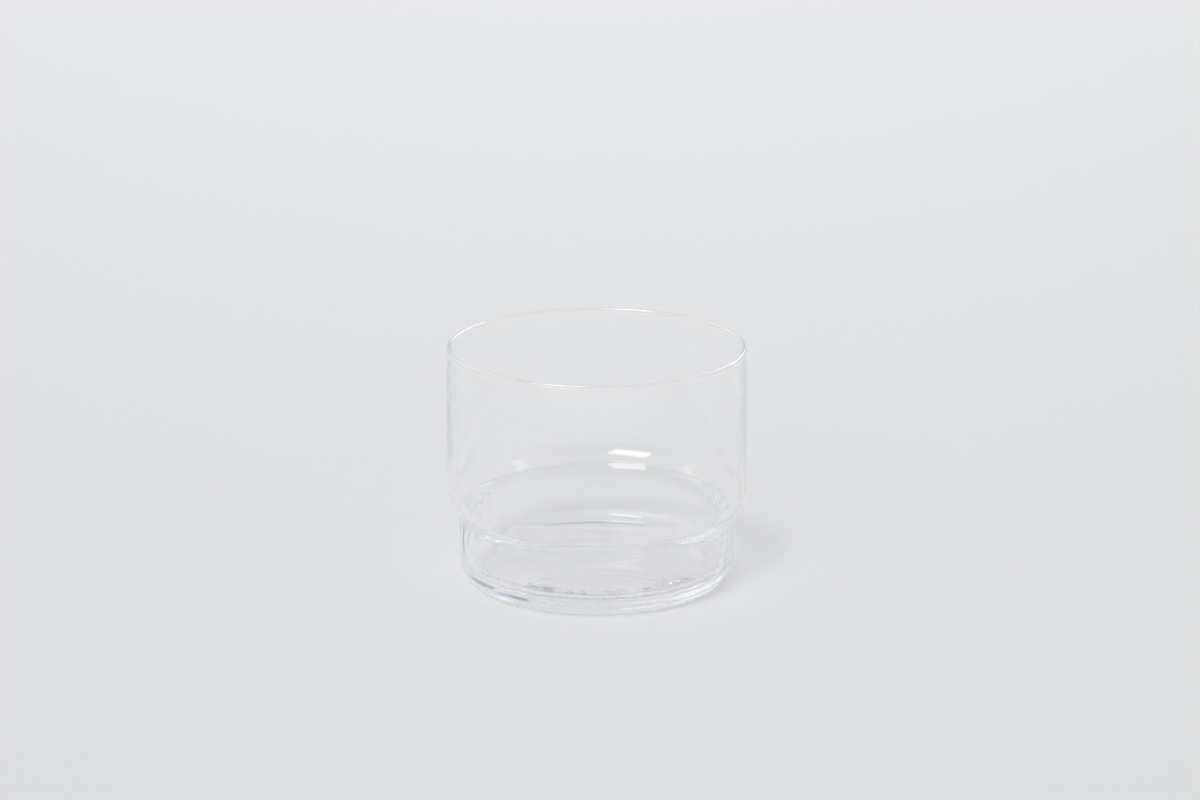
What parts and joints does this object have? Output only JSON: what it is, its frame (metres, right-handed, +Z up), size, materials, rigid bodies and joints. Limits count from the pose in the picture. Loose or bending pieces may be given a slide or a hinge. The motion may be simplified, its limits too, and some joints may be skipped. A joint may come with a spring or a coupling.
{
  "type": "stackable tumbler",
  "caption": "Low clear-glass tumbler: thin straight bowl, rounded shoulder and a narrower thick-based foot that drops into the mouth of a like glass below, so that they stack",
  "frame": {"origin": "middle of the base, on the surface that the glass stands on", "axes": "+Z runs up the glass's axis of revolution to the open mouth; X and Y are any two directions across, because the glass is round"},
  "size_m": [0.0842, 0.0842, 0.0676],
  "materials": {
    "clear_glass": "clear soda-lime glass with a faint blue tint, fire-polished smooth"
  },
  "bodies": {
    "root": {"tumbler": "clear_glass"}
  },
  "joints": []
}
